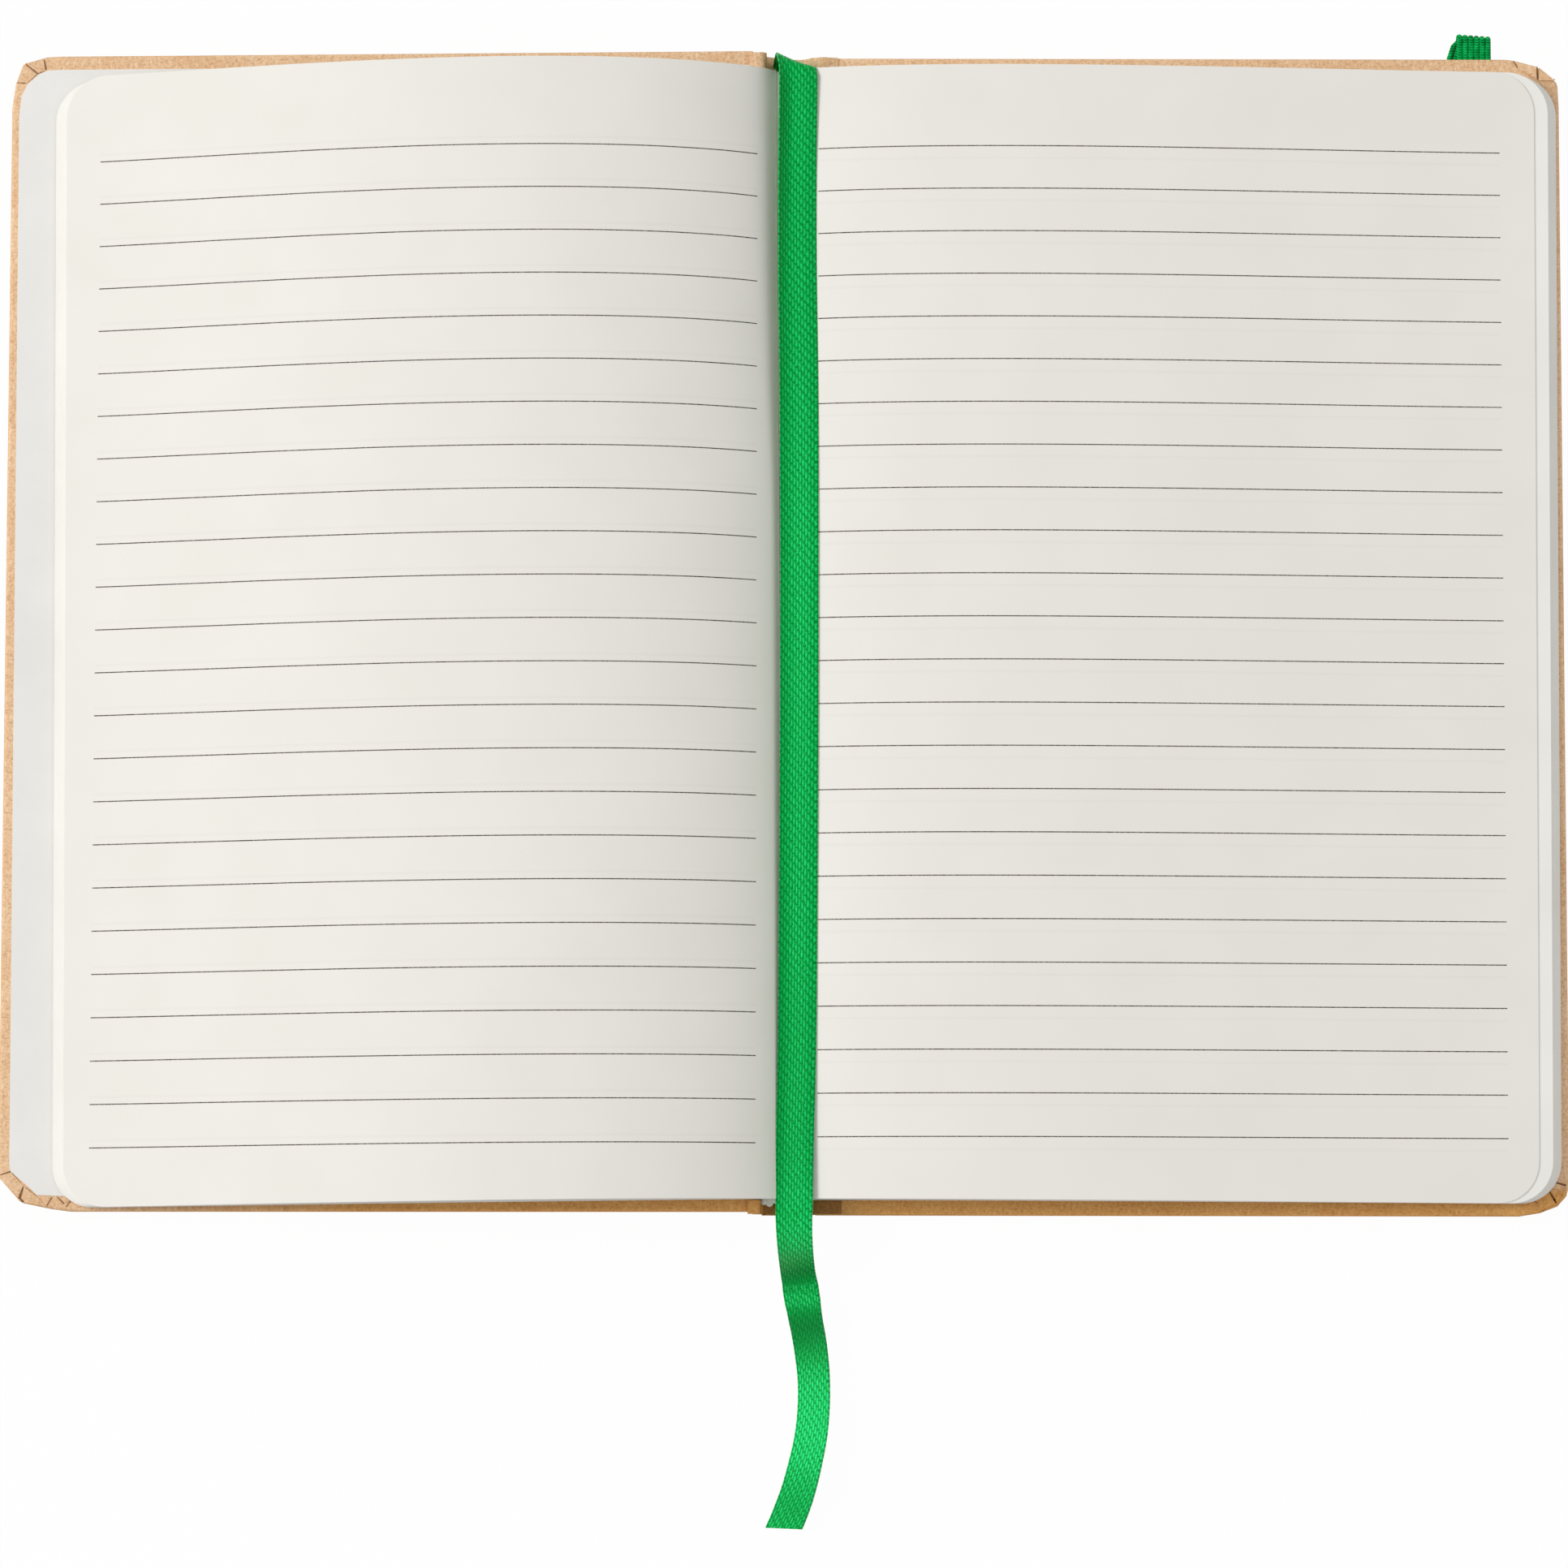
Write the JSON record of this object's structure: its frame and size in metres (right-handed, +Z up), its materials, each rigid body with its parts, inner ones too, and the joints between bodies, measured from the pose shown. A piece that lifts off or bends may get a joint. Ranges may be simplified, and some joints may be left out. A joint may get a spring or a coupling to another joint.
{
  "type": "notebook",
  "caption": "Open hardcover ruled notebook with kraft paper covers, round corners, a ribbon bookmark and an elastic closing band.",
  "frame": {"origin": "on the table, under the middle of the open notebook's footprint, the free ribbon left out", "axes": "+X from the front cover to the back cover, +Y from the foot of the pages to the head, +Z up from the table"},
  "size_m": [0.2813, 0.2726, 0.0235],
  "materials": {
    "leaves": "matt uncoated cream paper",
    "lining": "open-weave lining cloth",
    "board": "grey pressed board",
    "kraft": "matt brown kraft paper",
    "endpaper": "matt off-white paper",
    "elastic": "ribbed knitted elastic",
    "ribbon": "satin weave"
  },
  "bodies": {
    "block": {"text_block": "leaves", "spine_lining": "lining", "spine_board": "board", "spine_wrap": "kraft", "ribbon_bookmark": "ribbon"},
    "front_cover": {"front_board": "board", "front_cover_wrap": "kraft", "front_endpaper": "endpaper"},
    "back_cover": {"back_board": "board", "back_cover_wrap": "kraft", "back_endpaper": "endpaper", "elastic_band": "elastic"}
  },
  "joints": [
    {"name": "front_cover_hinge", "type": "hinge", "parent": "block", "child": "front_cover", "pos_m": [-0.00537, -0.00265, 0.0062], "axis": [0, -1, 0], "range_deg": [0, 85]},
    {"name": "back_cover_hinge", "type": "hinge", "parent": "block", "child": "back_cover", "pos_m": [0.00523, -0.00265, 0.0021], "axis": [0, 1, 0], "range_deg": [0, 85]}
  ]
}
